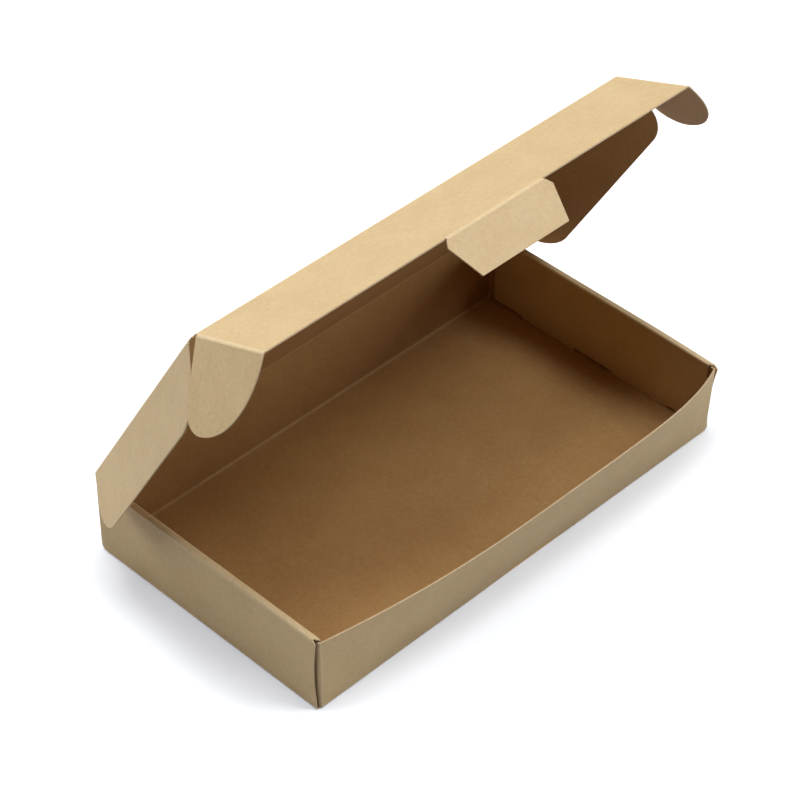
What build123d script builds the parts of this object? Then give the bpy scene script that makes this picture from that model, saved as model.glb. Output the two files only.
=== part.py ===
"""Folding mailer box of thin kraft card, lid open: a tray with rolled side walls and a hinged lid with flaps.

Millimetres. The origin is the middle of the underside of the base, +X to the right, +Y to the back
and +Z up.
"""

import os
from math import sqrt

from build123d import *

# Card, folds and clearances
board = 0.5
fold_radius = 0.5
hinge_gap = 0.05

# Tray
tray_width = 180.0
tray_depth = 100.0
side_height = 29.3
front_height = 28.0
back_height = 31.6
corner_flap_length = 24.0
corner_flap_height = 28.0
corner_flap_play = 0.2

# Front wall, which springs outwards at its top
front_bow = 7.6
bow_power_left = 2.25
bow_power_right = 6.0
bow_stations = 17

# Rolled side walls and their foot tabs
roll_width = 2.4
roll_end_play = 0.75
inner_ply_back_gap = 3.0
inner_ply_foot_gap = 1.0
outer_ply_hollow = 0.9
outer_ply_snip = 1.4
outer_ply_back_round = 3.0
foot_tab_length = 25.0
foot_tab_pitch = 42.0
foot_tab_recess = 0.1
foot_slot_play = 0.15
foot_slot_nick = 1.0

# Lid and its side flaps
lid_length = 101.5
lid_side_play = 0.35
lid_hinge_step = 3.0
side_flap_depth = 22.3
side_flap_back_round = 11.5
side_flap_front_round = 7.0
side_flap_front_set = 2.8
side_flap_front_setback = 17.4

# Tuck flap, its ears and its lock tab
tuck_length = 31.1
ear_inset = 1.35
ear_length = 27.5
ear_root_gap = 1.0
ear_straight = 19.0
ear_taper = 1.5
ear_tip_place = 10.0
lock_offset = 3.0
lock_root_width = 41.0
lock_root_play = 0.25
lock_hook = 1.7
lock_hook_depth = 2.8
lock_end_width = 36.5
lock_depth = 15.0
lock_end_round = 0.4
lock_slot_play = 0.6
lock_slot_rise = 1.5
lock_slot_reach = 1.2
lock_slot_nub = 1.0

# How far each fold is turned as the box stands, in degrees
lid_open = 59.3
left_side_flap_fold = 58.5
right_side_flap_fold = 64.0
tuck_fold = 39.0
left_ear_fold = 56.0
right_ear_fold = 53.0
lock_fold = 51.0

# Places worked out from the sizes
half_board = board / 2
half_width = tray_width / 2
half_depth = tray_depth / 2
outside_radius = fold_radius + half_board
inside_radius = fold_radius - half_board
root_radius = 0.95 * half_board
parent_gap = half_board + hinge_gap

outer_ply = half_width - half_board
inner_ply = half_width - roll_width + half_board
corner_flap = inner_ply + board + corner_flap_play
corner_outside = corner_flap + half_board
corner_inside = corner_flap - half_board
wall_end = corner_outside - outside_radius
wall_foot = outside_radius
wall_middle = half_depth - half_board
roll_end = half_depth - roll_end_play
inner_foot = board + inner_ply_foot_gap
side_crease = half_width + lid_side_play + half_board
ear_crease = side_crease - ear_inset


def bow_at(x):
    """How far the top of the front wall stands out at x."""
    power = bow_power_right if x > 0 else bow_power_left
    return front_bow * (1 - abs(x / wall_end) ** power)


def front_band(height, share):
    """The front wall and its two corner flaps cut level at a height, with a share of the bow."""
    flap_end = corner_flap_length - half_depth
    bend_end = outside_radius - half_depth
    outer = [(x, -half_depth - share * bow_at(x)) for x in stations]
    inner = [(x, y + board) for x, y in reversed(outer)]
    with BuildSketch(Plane.XY.offset(height)) as band:
        with BuildLine():
            Spline(*outer)
            RadiusArc(outer[-1], (corner_outside, bend_end), -outside_radius)
            Polyline(
                (corner_outside, bend_end),
                (corner_outside, flap_end),
                (corner_inside, flap_end),
                (corner_inside, bend_end),
            )
            RadiusArc((corner_inside, bend_end), inner[0], inside_radius)
            Spline(*inner)
            RadiusArc(inner[-1], (-corner_inside, bend_end), inside_radius)
            Polyline(
                (-corner_inside, bend_end),
                (-corner_inside, flap_end),
                (-corner_outside, flap_end),
                (-corner_outside, bend_end),
            )
            RadiusArc((-corner_outside, bend_end), outer[0], -outside_radius)
        make_face()
    return band.sketch


def round_root(panel, crease, plane):
    """Round the two long edges of a panel that turn on its crease through the plane's origin."""
    away = plane.y_dir if crease == plane.x_dir else plane.x_dir
    along = panel.edges().filter_by(Axis(plane.origin, crease))
    fillet(along.sort_by(Axis(plane.origin, away))[:2], root_radius)


station_step = 2 * wall_end / (bow_stations - 1)
stations = [station_step * i - wall_end for i in range(bow_stations)]

# Right side wall: base edge, outer ply, top strip and inner ply rolled from one strip
with BuildPart() as side_wall:
    roll_top = side_height - half_board
    with BuildSketch(Plane.XZ.offset(-roll_end)):
        with BuildLine() as roll:
            FilletPolyline(
                (inner_ply - roll_width, half_board),
                (outer_ply, half_board),
                (outer_ply, roll_top),
                (inner_ply, roll_top),
                (inner_ply, inner_foot),
                radius=fold_radius,
            )
        trace(roll.line, line_width=board)
    extrude(amount=2 * roll_end)

    # The top strip and the inner ply stop short of the back wall
    with BuildSketch(Plane.XY.offset(board)):
        with Locations((half_width - roll_width, roll_end - inner_ply_back_gap)):
            near_corner = (Align.MIN, Align.MIN)
            Rectangle(roll_width - board, inner_ply_back_gap, align=near_corner)
    extrude(amount=side_height, mode=Mode.SUBTRACT)

    # The outer ply: front edge cut a little hollow, top corner snipped, back bottom corner round
    snip_foot = (-roll_end, side_height - outer_ply_snip)
    with BuildSketch(Plane.YZ.offset(corner_outside)):
        with BuildLine():
            hollow = (outer_ply_hollow - roll_end, side_height / 2)
            ThreePointArc((-roll_end, outside_radius), hollow, snip_foot)
            Polyline(
                snip_foot,
                (outer_ply_snip - roll_end, side_height),
                (-half_depth, side_height),
                (-half_depth, outside_radius),
                (-roll_end, outside_radius),
            )
        make_face()
        with BuildLine():
            round_start = (roll_end - outer_ply_back_round, 0)
            round_end = (roll_end, outer_ply_back_round)
            RadiusArc(round_start, round_end, -outer_ply_back_round)
            Polyline(round_end, (roll_end, 0), round_start)
        make_face()
    extrude(amount=roll_width, mode=Mode.SUBTRACT)

# Tray: the leaning front wall and its corner flaps, then base, back wall and side walls
with BuildPart() as tray:
    loft(sections=[front_band(wall_foot, 0), front_band(front_height, 1)], ruled=True)

    # The card keeps its height as it leans, so its top edge dips where it stands out
    with BuildSketch(Plane.XZ.offset(half_depth - board)):
        with BuildLine():
            dip = [(x, sqrt(front_height**2 - bow_at(x) ** 2)) for x in stations]
            Spline(*dip)
            over_wall = 2 * front_height
            Polyline(dip[-1], (wall_end, over_wall), (-wall_end, over_wall), dip[0])
        make_face()
    extrude(amount=2 * front_bow, mode=Mode.SUBTRACT)

    # The foot of the front wall, the base and the back wall are one strip
    with BuildSketch(Plane.YZ):
        with BuildLine() as strip:
            FilletPolyline(
                (-wall_middle, wall_foot),
                (-wall_middle, half_board),
                (wall_middle, half_board),
                (wall_middle, back_height - parent_gap),
                radius=fold_radius,
            )
        trace(strip.line, line_width=board)
    extrude(amount=wall_end, both=True)

    # Corner flaps of the back wall
    with BuildSketch(Plane.XY.offset(wall_foot)):
        for side in (-1, 1):
            with BuildLine() as turn:
                FilletPolyline(
                    (side * (wall_end - board), wall_middle),
                    (side * corner_flap, wall_middle),
                    (side * corner_flap, half_depth - corner_flap_length),
                    radius=fold_radius,
                )
            trace(turn.line, line_width=board)
    extrude(amount=corner_flap_height - wall_foot)

    add(side_wall.part)
    mirror(side_wall.part, about=Plane.YZ)

    # Slots in the base for the foot tabs, each with a nick out to the fold at its front end
    slot_length = foot_tab_length + 2 * foot_slot_play
    with BuildSketch():
        for side in (-1, 1):
            outwards = Align.MIN if side > 0 else Align.MAX
            for place in (-foot_tab_pitch / 2, foot_tab_pitch / 2):
                with Locations((side * inner_ply, place)):
                    Rectangle(board + 2 * foot_slot_play, slot_length)
                with Locations((side * inner_ply, place - slot_length / 2)):
                    Rectangle(roll_width, foot_slot_nick, align=(outwards, Align.MIN))
    extrude(amount=outside_radius, mode=Mode.SUBTRACT)

    # The foot tabs carry the inner plies down into those slots
    with BuildSketch(Plane.XY.offset(foot_tab_recess)):
        for side in (-1, 1):
            for place in (-foot_tab_pitch / 2, foot_tab_pitch / 2):
                with Locations((side * inner_ply, place)):
                    Rectangle(board, foot_tab_length)
    extrude(amount=inner_foot - foot_tab_recess)

    # Slot for the lock tab along the front fold, with the nub that the die leaves in its middle
    lock_slot_half = lock_root_width / 2 + lock_slot_play
    with BuildSketch(Plane.XZ.offset(wall_middle - lock_slot_reach)):
        with BuildLine():
            slot_left = (lock_offset - lock_slot_half, 0)
            slot_right = (lock_offset + lock_slot_half, 0)
            ThreePointArc(slot_left, (lock_offset, lock_slot_rise), slot_right)
            Line(slot_right, slot_left)
        make_face()
        with Locations((lock_offset, lock_slot_rise)):
            Circle(lock_slot_nub, mode=Mode.SUBTRACT)
    extrude(amount=2 * lock_slot_reach, mode=Mode.SUBTRACT)

# The lid's planes: x along the hinge, y away from it, z towards the inside
lid_plane = Plane(Location((0, wall_middle, back_height), (180 - lid_open, 0, 0)))
tuck_plane = Plane(lid_plane.location * Location((0, lid_length, 0), (tuck_fold, 0, 0)))
lock_plane = Plane(tuck_plane.location * Location((lock_offset, tuck_length, 0), (lock_fold, 0, 0)))


def folded(flap, panel, crease, fold):
    """A flat right-hand flap moved to the crease at the right of a panel and folded inwards."""
    return flap.part.moved(panel.location * Location((crease, 0, 0), (0, -fold, 0)))



# Lid panel, narrow at its hinge and stepped out to cover the side walls
with BuildPart() as lid_panel:
    lid_edge = side_crease - parent_gap
    lid_front = lid_length - parent_gap
    with BuildSketch(lid_plane):
        with BuildLine():
            Polyline(
                (-wall_end, 0),
                (wall_end, 0),
                (wall_end, lid_hinge_step),
                (lid_edge, lid_hinge_step),
                (lid_edge, lid_front),
                (-lid_edge, lid_front),
                (-lid_edge, lid_hinge_step),
                (-wall_end, lid_hinge_step),
                close=True,
            )
        make_face()
    extrude(amount=half_board, both=True)
    round_root(lid_panel, lid_plane.x_dir, lid_plane)

# Side flap of the lid, flat: round at the back, slanted at the front so that the ear can pass
with BuildPart() as side_flap:
    flap_back = lid_hinge_step
    flap_front = lid_length - side_flap_front_set
    with BuildSketch():
        with BuildLine():
            FilletPolyline(
                (0, flap_back),
                (side_flap_depth, flap_back),
                (side_flap_depth, flap_front - side_flap_front_setback),
                (0, flap_front),
                radius=[side_flap_back_round, side_flap_front_round],
            )
            Line((0, flap_front), (0, flap_back))
        make_face()
    extrude(amount=half_board, both=True)
    round_root(side_flap, Plane.XY.y_dir, Plane.XY)

with BuildPart() as side_flap_right:
    add(folded(side_flap, lid_plane, side_crease, right_side_flap_fold))

with BuildPart() as side_flap_left:
    mirror(folded(side_flap, lid_plane, side_crease, left_side_flap_fold), about=Plane.YZ)

# Tuck flap, notched where the lock tab turns
with BuildPart() as tuck_flap:
    tuck_side = ear_crease - parent_gap
    notch_half = lock_root_width / 2 + lock_root_play
    notch_floor = tuck_length - parent_gap
    with BuildSketch(tuck_plane):
        with BuildLine():
            Polyline(
                (-tuck_side, 0),
                (tuck_side, 0),
                (tuck_side, tuck_length),
                (lock_offset + notch_half, tuck_length),
                (lock_offset + notch_half, notch_floor),
                (lock_offset - notch_half, notch_floor),
                (lock_offset - notch_half, tuck_length),
                (-tuck_side, tuck_length),
                close=True,
            )
        make_face()
    extrude(amount=half_board, both=True)
    round_root(tuck_flap, tuck_plane.x_dir, tuck_plane)

# Ear, flat: a straight tapered edge to the lid, a quick turn at the tip and a long curve to the free edge
with BuildPart() as ear:
    straight_end = ear_root_gap + ear_taper
    with BuildSketch():
        with BuildLine():
            Line((0, ear_root_gap), (ear_straight, straight_end))
            EllipticalCenterArc(
                center=(ear_straight, ear_tip_place),
                x_radius=ear_length - ear_straight,
                y_radius=ear_tip_place - straight_end,
                start_angle=-90,
                arc_size=90,
            )
            EllipticalCenterArc(
                center=(0, ear_tip_place),
                x_radius=ear_length,
                y_radius=tuck_length - ear_tip_place,
                start_angle=0,
                arc_size=90,
            )
            Line((0, tuck_length), (0, ear_root_gap))
        make_face()
    extrude(amount=half_board, both=True)
    round_root(ear, Plane.XY.y_dir, Plane.XY)

with BuildPart() as ear_right:
    add(folded(ear, tuck_plane, ear_crease, right_ear_fold))

with BuildPart() as ear_left:
    mirror(folded(ear, tuck_plane, ear_crease, left_ear_fold), about=Plane.YZ)

# Lock tab, hooked at its root to hold in the slot
with BuildPart() as lock_tab:
    with BuildSketch(lock_plane):
        with BuildLine():
            root_half = lock_root_width / 2
            hook_half = root_half + lock_hook
            end_half = lock_end_width / 2
            FilletPolyline(
                (root_half, 0),
                (hook_half, lock_hook_depth),
                (end_half, lock_depth),
                (-end_half, lock_depth),
                (-hook_half, lock_hook_depth),
                (-root_half, 0),
                radius=lock_end_round,
            )
            Line((-root_half, 0), (root_half, 0))
        make_face()
    extrude(amount=half_board, both=True)
    round_root(lock_tab, lock_plane.x_dir, lock_plane)

tray.part.label = "tray"
lid_panel.part.label = "lid_panel"
side_flap_left.part.label = "lid_side_flap_left"
side_flap_right.part.label = "lid_side_flap_right"
tuck_flap.part.label = "tuck_flap"
ear_left.part.label = "tuck_ear_left"
ear_right.part.label = "tuck_ear_right"
lock_tab.part.label = "lock_tab"

os.makedirs("parts", exist_ok=True)
export_step(tray.part, "parts/tray.step")
export_step(lid_panel.part, "parts/lid_panel.step")
export_step(side_flap_left.part, "parts/lid_side_flap_left.step")
export_step(side_flap_right.part, "parts/lid_side_flap_right.step")
export_step(tuck_flap.part, "parts/tuck_flap.step")
export_step(ear_left.part, "parts/tuck_ear_left.step")
export_step(ear_right.part, "parts/tuck_ear_right.step")
export_step(lock_tab.part, "parts/lock_tab.step")
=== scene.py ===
"""Folding mailer box of thin kraft card, standing open on a pale floor.

Metres. The origin is the middle of the underside of the base, +X to the right, +Y to the back and +Z up.
The card is laid out in millimetres, and becomes metres when it gets its thickness.
"""

import logging
from collections.abc import Callable
from dataclasses import dataclass, field
from enum import Enum
from math import atan2, ceil, cos, pi, radians, sin, sqrt, tan

import bmesh
import bpy
from mathutils import Matrix, Vector, noise


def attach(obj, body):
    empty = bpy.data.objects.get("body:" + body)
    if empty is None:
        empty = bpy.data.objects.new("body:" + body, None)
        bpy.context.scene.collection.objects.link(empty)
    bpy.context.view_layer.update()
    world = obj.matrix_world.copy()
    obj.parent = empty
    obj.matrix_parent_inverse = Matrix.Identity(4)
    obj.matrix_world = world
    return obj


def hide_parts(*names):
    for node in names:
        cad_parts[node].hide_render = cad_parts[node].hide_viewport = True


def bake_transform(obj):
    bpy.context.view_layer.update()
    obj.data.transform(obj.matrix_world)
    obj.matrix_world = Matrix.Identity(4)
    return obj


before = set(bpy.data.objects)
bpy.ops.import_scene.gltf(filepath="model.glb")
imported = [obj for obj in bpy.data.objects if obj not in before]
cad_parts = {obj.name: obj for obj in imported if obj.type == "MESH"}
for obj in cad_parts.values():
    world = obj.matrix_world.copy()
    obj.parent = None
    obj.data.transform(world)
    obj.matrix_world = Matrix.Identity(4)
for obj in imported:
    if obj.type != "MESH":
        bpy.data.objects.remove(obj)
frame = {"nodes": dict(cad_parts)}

LOG = logging.getLogger("mailer_box")
MM = 0.001
TINY = 1e-6
NEAR = 0.05
WELD = 0.002
SLIVER = 1e-7
Triple = tuple[float, float, float]
Keep = Callable[[int, int], bool]


def clamp(value: float) -> float:
    """A value held between 0 and 1."""
    return min(max(value, 0.0), 1.0)


def dome(x: float, middle: float, radius: float) -> float:
    """1 at the middle, falling to 0 at the radius and beyond it."""
    return max(0.0, 1 - ((x - middle) / radius) ** 2)


def folded(base: Matrix, place: Triple, angle: float, axis: str = "X") -> Matrix:
    """The frame at a place in another frame, turned there by degrees about an axis."""
    return base @ Matrix.Translation(place) @ Matrix.Rotation(radians(angle), 4, axis)


def placed(name: str, data: bpy.types.ID) -> bpy.types.Object:
    """Add an object to the scene at the origin.

    Args:
        name: its name.
        data: its mesh, lamp or camera.

    Returns:
        The object.
    """
    thing = bpy.data.objects.new(name, data)
    bpy.context.scene.collection.objects.link(thing)
    return thing


def spread(marks: list[float], step: float) -> list[float]:
    """Fill the room between marks evenly.

    Args:
        marks: places that the result has to hold, in any order.
        step: the widest spacing.

    Returns:
        The marks with places between them, rising.
    """
    ordered = sorted(set(round(mark, 6) for mark in marks))
    result = [ordered[0]]
    for low, high in zip(ordered, ordered[1:]):
        count = max(1, ceil((high - low) / step))
        result += [low + (high - low) * i / count for i in range(1, count + 1)]
    return result


def math_node(operation: str, turned: bool = False) -> Callable[..., "Signal"]:
    """Make a method of Signal that adds one Math node.

    Args:
        operation: the node's operation.
        turned: whether the other value comes first.

    Returns:
        The method.
    """

    def work(signal: "Signal", *others: "Signal | float") -> "Signal":
        """Add the Math node and hand back its result."""
        terms = (*others, signal) if turned else (signal, *others)
        return signal.tree.node("ShaderNodeMath", {"operation": operation}, dict(enumerate(terms)))

    return work


@dataclass(frozen=True)
class Signal:
    """A socket of a node tree that Python sums can use; each operator adds its Math node."""

    tree: "NodeTree"
    socket: bpy.types.NodeSocket | None

    __add__ = math_node("ADD")
    __radd__ = math_node("ADD", turned=True)
    __sub__ = math_node("SUBTRACT")
    __rsub__ = math_node("SUBTRACT", turned=True)
    __mul__ = math_node("MULTIPLY")
    __rmul__ = math_node("MULTIPLY", turned=True)
    __truediv__ = math_node("DIVIDE")
    __rtruediv__ = math_node("DIVIDE", turned=True)
    __pow__ = math_node("POWER")
    __abs__ = math_node("ABSOLUTE")
    above = math_node("GREATER_THAN")
    at_least = math_node("MAXIMUM")
    at_most = math_node("MINIMUM")
    sine = math_node("SINE")
    cosine = math_node("COSINE")

    def step(self, low: float, high: float) -> "Signal":
        """Rise smoothly from 0 at low to 1 at high, or fall where low is the larger.

        Args:
            low: the value that gives 0.
            high: the value that gives 1.

        Returns:
            The smooth step.
        """
        rising = low < high
        ends = {"From Min": min(low, high), "From Max": max(low, high)}
        ends.update({"To Min": 0.0 if rising else 1.0, "To Max": 1.0 if rising else 0.0})
        settings = {"interpolation_type": "SMOOTHSTEP", "clamp": True}
        return self.tree.node("ShaderNodeMapRange", settings, {"Value": self, **ends})


class NodeTree:
    """A node tree that is filled from Python."""

    def __init__(self, tree: bpy.types.NodeTree) -> None:
        """Take over a tree and empty it."""
        self.tree = tree
        self.tree.nodes.clear()

    def node(
        self,
        kind: str,
        settings: dict[str, object] | None = None,
        sockets: dict[str | int, object] | None = None,
        output: str | int = 0,
    ) -> Signal:
        """Add a node, set it up, then fill or link its sockets.

        Args:
            kind: the node's type.
            settings: its properties.
            sockets: values or signals by socket name or place.
            output: the output to hand back.

        Returns:
            That output as a signal.
        """
        made = self.tree.nodes.new(kind)
        for name, value in (settings or {}).items():
            setattr(made, name, value)
        for name, value in (sockets or {}).items():
            if isinstance(value, Signal):
                self.tree.links.new(value.socket, made.inputs[name])
            else:
                made.inputs[name].default_value = value
        return Signal(self, made.outputs[output] if len(made.outputs) else None)


class GeometryTree(NodeTree):
    """A geometry tree with named inputs, which moves card's points and ends in plain faces."""

    def __init__(self, name: str) -> None:
        """Start the tree with its input node."""
        super().__init__(bpy.data.node_groups.new(name, "GeometryNodeTree"))
        self.given = self.tree.nodes.new("NodeGroupInput")

    def entry(self, name: str, kind: str = "NodeSocketFloat") -> Signal:
        """Add an input of a name and a socket type."""
        self.tree.interface.new_socket(name, in_out="INPUT", socket_type=kind)
        return Signal(self, self.given.outputs[name])

    def axis(self, spot: Signal, name: str) -> Signal:
        """One coordinate of a point."""
        return self.node("ShaderNodeSeparateXYZ", None, {0: spot}, name)

    def waves(self, spot: Signal, scale: float, seed: Signal, wave: Signal, share: Signal) -> Signal:
        """The card's unevenness, from a seeded noise.

        Args:
            spot: the point.
            scale: the noise's scale.
            seed: its seed.
            wave: how high the waves are.
            share: how much of them there is at the point.

        Returns:
            How far the card stands off its plane.
        """
        sockets = {"Vector": spot, "W": seed, "Scale": scale, "Detail": 1.0}
        patches = self.node("ShaderNodeTexNoise", {"noise_dimensions": "4D"}, sockets)
        return (patches - 0.5) * wave * share * 2

    def close(self, faces: Signal, place: tuple[Signal, ...], finish: bpy.types.Material) -> None:
        """Move the points, make the faces plain, set their finish and end the tree.

        Args:
            faces: the card.
            place: where each point goes.
            finish: the card's material.
        """
        point = self.node("ShaderNodeCombineXYZ", None, dict(enumerate(place)))
        moved = self.node("GeometryNodeSetPosition", None, {"Geometry": faces, "Position": point})
        plain = self.node("GeometryNodeRealizeInstances", None, {0: moved})
        card = self.node("GeometryNodeSetMaterial", None, {"Geometry": plain, "Material": finish})
        self.tree.interface.new_socket("Card", in_out="OUTPUT", socket_type="NodeSocketGeometry")
        self.tree.links.new(card.socket, self.tree.nodes.new("NodeGroupOutput").inputs["Card"])

    def run(self, thing: bpy.types.Object, sizes: dict[str, float]) -> bpy.types.Mesh:
        """Run the tree on an object, which it uses up.

        Args:
            thing: the object, not evaluated yet.
            sizes: values by the inputs' names; they are set by the inputs' identifiers.

        Returns:
            The plain mesh.
        """
        modifier = thing.modifiers.new(self.tree.name, "NODES")
        modifier.node_group = self.tree
        for item in self.tree.interface.items_tree:
            if item.in_out == "INPUT" and item.name in sizes:
                modifier[item.identifier] = sizes[item.name]
        return plain_mesh(thing)


class ShaderTree(NodeTree):
    """The node tree of a material or the world."""

    def __init__(self, owner: bpy.types.Material | bpy.types.World) -> None:
        """Take over the tree of a material or the world."""
        owner.use_nodes = True
        super().__init__(owner.node_tree)

    def millimetres(self) -> Signal:
        """The point on the piece in millimetres."""
        point = self.node("ShaderNodeTexCoord", output="Object")
        return self.node("ShaderNodeVectorMath", {"operation": "SCALE"}, {0: point, "Scale": 1 / MM})

    def shifted(self, point: Signal, shift: Triple) -> Signal:
        """A point moved aside, so that two patterns don't share their places."""
        return self.node("ShaderNodeVectorMath", {"operation": "ADD"}, {0: point, 1: shift})

    def noise(
        self, point: Signal, size: float, detail: float = 2.0, rough: float = 0.5, output: str | int = 0
    ) -> Signal:
        """Soft noise, from 0 to 1 and mostly near a half.

        Args:
            point: where it is read, in millimetres.
            size: the size of its patches in millimetres.
            detail: its octaves.
            rough: how strong the small octaves are.
            output: the output to hand back.

        Returns:
            The noise.
        """
        sockets = {"Vector": point, "Scale": 1 / size, "Detail": detail, "Roughness": rough}
        return self.node("ShaderNodeTexNoise", {"noise_dimensions": "3D"}, sockets, output)

    def blend(self, share: Signal | float, first: Signal | Triple, second: Signal | Triple) -> Signal:
        """Mix two colours.

        Args:
            share: 0 for the first colour, 1 for the second.
            first: a colour or a signal.
            second: a colour or a signal.

        Returns:
            The mixed colour.
        """
        pair = [c if isinstance(c, Signal) else (*c, 1.0) for c in (first, second)]
        settings = {"data_type": "RGBA", "blend_type": "MIX", "clamp_factor": True}
        return self.node("ShaderNodeMix", settings, {0: share, 6: pair[0], 7: pair[1]}, output=2)

    def close(self, height: Signal, strength: float, depth: float, look: dict[str, object]) -> None:
        """End a material's tree in a surface with a bump.

        Args:
            height: the bump's height.
            strength: how strongly it shows.
            depth: how deep it is, in metres.
            look: values or signals for the surface's other sockets.
        """
        sockets = {"Strength": strength, "Distance": depth, "Height": height}
        bump = self.node("ShaderNodeBump", None, sockets, "Normal")
        shader = self.node("ShaderNodeBsdfPrincipled", None, {**look, "Normal": bump})
        self.node("ShaderNodeOutputMaterial", None, {"Surface": shader})


@dataclass(frozen=True)
class KraftCard:
    """Unbleached kraft board: a warm brown face with clouds, short fibres, flecks and a soft sheen."""

    name: str = "kraft_card"
    face: Triple = (0.645, 0.467, 0.24)
    dark: Triple = (0.42, 0.28, 0.125)
    straw: Triple = (0.82, 0.66, 0.41)
    warm: Triple = (0.66, 0.44, 0.21)
    bark: Triple = (0.20, 0.11, 0.045)
    cloud_size: float = 14.0
    mottle_size: float = 1.6
    grain_size: float = 0.42
    curl_size: float = 1 / 0.9
    curl_reach: float = 0.9
    tone_share: float = 0.34
    warm_share: float = 0.2
    fibre_shares: tuple[float, float] = (0.3, 0.28)
    fleck_shares: tuple[float, float] = (0.4, 0.6)
    crease_whitening_and_highlight: float = 0.42
    crease_power: float = 2.0
    roughness: float = 0.55
    bump_strength: float = 0.25
    bump_depth: float = 0.00008

    def fibres(self, tree: ShaderTree, point: Signal, size: float, width: float, share: float) -> Signal:
        """Short curled fibres: thin contour lines of a noise, broken up by a second noise.

        Args:
            tree: the material's tree.
            point: the place in millimetres.
            size: how tightly the fibres curl, in millimetres.
            width: how wide a line is, as a share of the noise's range.
            share: how much of each line is broken away, from 0 to 1.

        Returns:
            1 on a fibre and 0 between.
        """
        line = abs(tree.noise(point, size, 1.5) - 0.5).step(width, 0.0)
        patch = tree.noise(tree.shifted(point, (31.7, 8.3, 17.1)), size * 0.55, 1.0)
        return line * patch.step(share, share + 0.08)

    def flecks(self, tree: ShaderTree, point: Signal, size: float, radius: float, share: float) -> Signal:
        """Sparse flecks.

        Args:
            tree: the material's tree.
            point: the place in millimetres.
            size: the pitch of the flecks in millimetres.
            radius: a fleck's radius, as a share of the pitch.
            share: the share of places that hold one.

        Returns:
            1 on a fleck and 0 between.
        """
        sockets = {"Vector": point, "Scale": 1 / size, "Randomness": 1.0}
        near = tree.node("ShaderNodeTexVoronoi", {"feature": "F1"}, sockets, "Distance")
        pick = tree.node("ShaderNodeTexVoronoi", {"feature": "F1"}, sockets, "Color")
        chance = tree.node("ShaderNodeSeparateColor", None, {0: pick}, "Red")
        return near.step(radius, radius * 0.55) * chance.step(share, share * 0.9)

    def build(self) -> bpy.types.Material:
        """Make the material.

        Returns:
            The finished material.
        """
        material = bpy.data.materials.new(self.name)
        tree = ShaderTree(material)
        point = tree.millimetres()
        warp = tree.noise(point, self.curl_size, 1.0, output="Color")
        bending = {0: warp, 1: (self.curl_reach,) * 3, 2: point}
        bent = tree.node("ShaderNodeVectorMath", {"operation": "MULTIPLY_ADD"}, bending)
        cloud = tree.noise(point, self.cloud_size, 3.0)
        mottle = tree.noise(tree.shifted(point, (5.0, 91.0, 3.0)), self.mottle_size, 4.0, 0.62)
        grain = tree.noise(tree.shifted(point, (70.0, 2.0, 44.0)), self.grain_size, 2.0, 0.6)
        hue = tree.noise(tree.shifted(point, (19.0, 4.0, 60.0)), self.cloud_size * 0.45, 3.0, 0.6)
        pale_fibre = self.fibres(tree, bent, 1.9, 0.022, 0.5)
        dark_fibre = self.fibres(tree, tree.shifted(bent, (11.0, 57.0, 23.0)), 1.5, 0.02, 0.52)
        pale_fleck = self.flecks(tree, bent, 3.1, 0.13, 0.3)
        dark_fleck = self.flecks(tree, tree.shifted(bent, (9.0, 40.0, 77.0)), 4.7, 0.07, 0.28)
        crease = {"attribute_type": "GEOMETRY", "attribute_name": "crease"}
        scored = tree.node("ShaderNodeAttribute", crease, output="Fac")
        crease_patches = (0.75 + (grain - 0.5) * 0.9 + (mottle - 0.5) * 0.9).step(0.3, 0.8)
        tone = 0.5 + (cloud - 0.5) * 0.35 + (mottle - 0.5) * 0.5 + (grain - 0.5) * 0.35
        colour = tree.blend(tone.step(0.2, 0.8), self.dark, self.straw)
        colour = tree.blend(self.tone_share, self.face, colour)
        layers = (
            (hue.step(0.35, 0.7) * self.warm_share, self.warm),
            (pale_fibre * self.fibre_shares[0], self.straw),
            (dark_fibre * self.fibre_shares[1], self.dark),
            (pale_fleck * self.fleck_shares[0], self.straw),
            (dark_fleck * self.fleck_shares[1], self.bark),
            # crease whitening of stretched fibres; on the liner it is partly a painted highlight for light
            # caught by the score's raised bead
            (scored**self.crease_power * crease_patches * self.crease_whitening_and_highlight, self.straw),
        )
        for share, tint in layers:
            colour = tree.blend(share, colour, tint)
        height = mottle * 0.5 + grain * (0.4 + scored * 0.8) + pale_fibre * 0.3 - dark_fleck * 0.2
        look = {
            "Base Color": colour,
            "Roughness": self.roughness + (mottle - 0.5) * 0.16,
            "Specular IOR Level": 0.5,
            "Sheen Weight": 0.08,
            "Sheen Roughness": 0.5,
        }
        tree.close(height, self.bump_strength, self.bump_depth, look)
        return material


@dataclass(frozen=True)
class InnerLinerWithPaintedShade(KraftCard):
    """The sheet's other side, which faces into the closed box: a browner liner of the same board, darkened
    further as painted shade for the box's shaded inside.
    """

    name: str = "kraft_inner_liner_painted_shade"
    # painted shade: these colours are darker than the brown liner itself, to deepen the shade inside the
    # box
    face: Triple = (0.49, 0.27, 0.092)
    dark: Triple = (0.30, 0.155, 0.048)
    straw: Triple = (0.67, 0.46, 0.21)
    warm: Triple = (0.505, 0.252, 0.076)
    bark: Triple = (0.14, 0.07, 0.025)
    # painted highlight: the liner's crease is paler and narrower for light caught by the score's bead,
    # beside real crease whitening
    crease_whitening_and_highlight: float = 0.6
    crease_power: float = 5.0


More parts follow.
